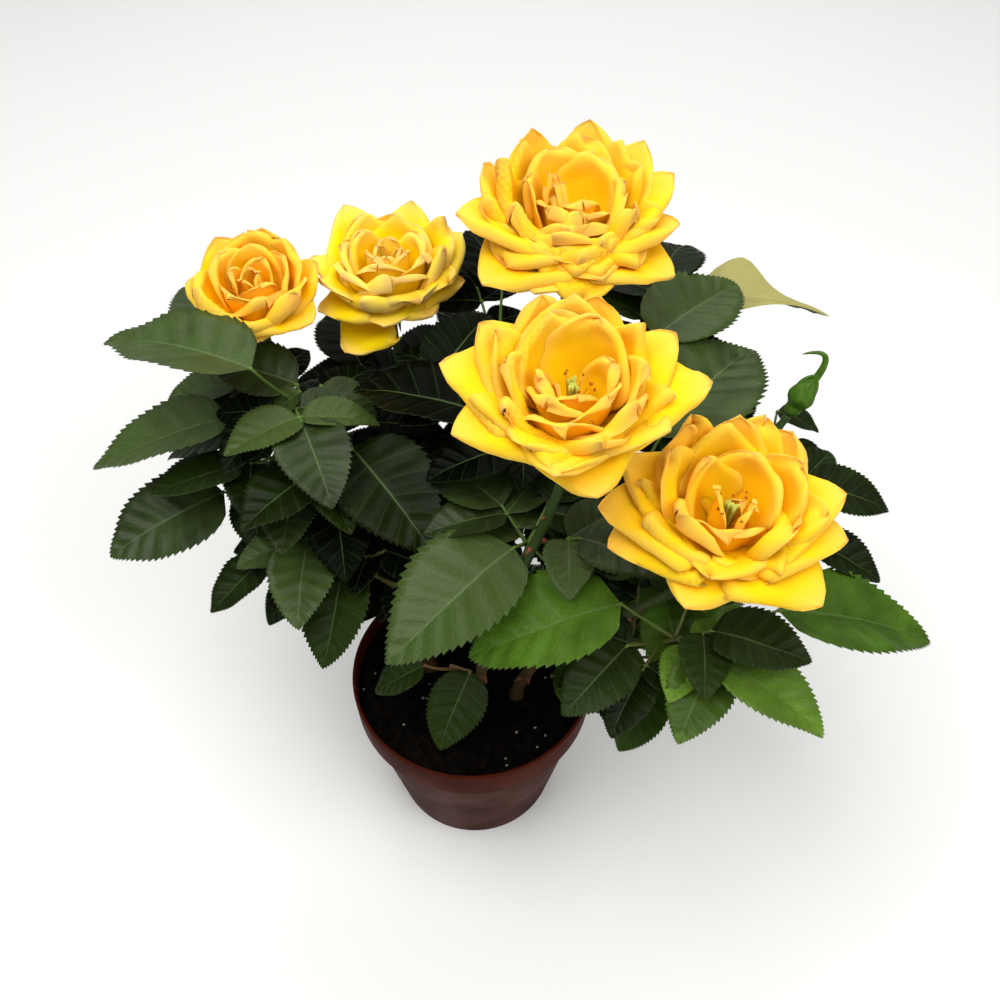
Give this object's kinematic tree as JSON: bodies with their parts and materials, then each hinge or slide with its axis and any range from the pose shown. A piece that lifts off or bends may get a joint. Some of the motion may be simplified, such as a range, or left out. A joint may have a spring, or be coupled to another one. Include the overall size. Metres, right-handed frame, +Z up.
{
  "type": "potted rose bush",
  "caption": "Miniature rose bush in a round nursery pot: leafy canes rise from the soil and end in layered blooms and a bud.",
  "frame": {"origin": "middle of the pot's underside, on the surface that the pot stands on", "axes": "+Z up the plant, -Y towards the side it is seen from, +X to the right of that view"},
  "size_m": [0.3099, 0.2123, 0.2828],
  "materials": {
    "pot": "moulded brown plastic with a dull sheen",
    "soil": "damp crumbly peat compost",
    "cane": "smooth green bark, browner at the foot",
    "petal": "soft matt petal",
    "bud": "matt green sepal",
    "leaf": "leathery leaf with a satin upper side"
  },
  "bodies": {
    "root": {"pot": "pot", "soil": "soil", "cane_left": "cane", "cane_left_back": "cane", "cane_front": "cane", "cane_right": "cane", "cane_top": "cane", "cane_bud": "cane", "bloom_left": "petal", "bloom_left_back": "petal", "bloom_front": "petal", "bloom_right": "petal", "bloom_top": "petal", "bud": "bud", "foliage_left_high": "leaf", "foliage_left": "leaf", "foliage_left_low": "leaf", "foliage_front_left": "leaf", "foliage_front_left_low": "leaf", "foliage_middle": "leaf", "foliage_front": "leaf", "foliage_front_right": "leaf", "foliage_right": "leaf", "foliage_right_high": "leaf", "foliage_back_right": "leaf", "foliage_back": "leaf", "foliage_back_left": "leaf", "foliage_low_front": "leaf", "foliage_low_right": "leaf", "foliage_low_back": "leaf", "foliage_low_left": "leaf"}
  },
  "joints": []
}
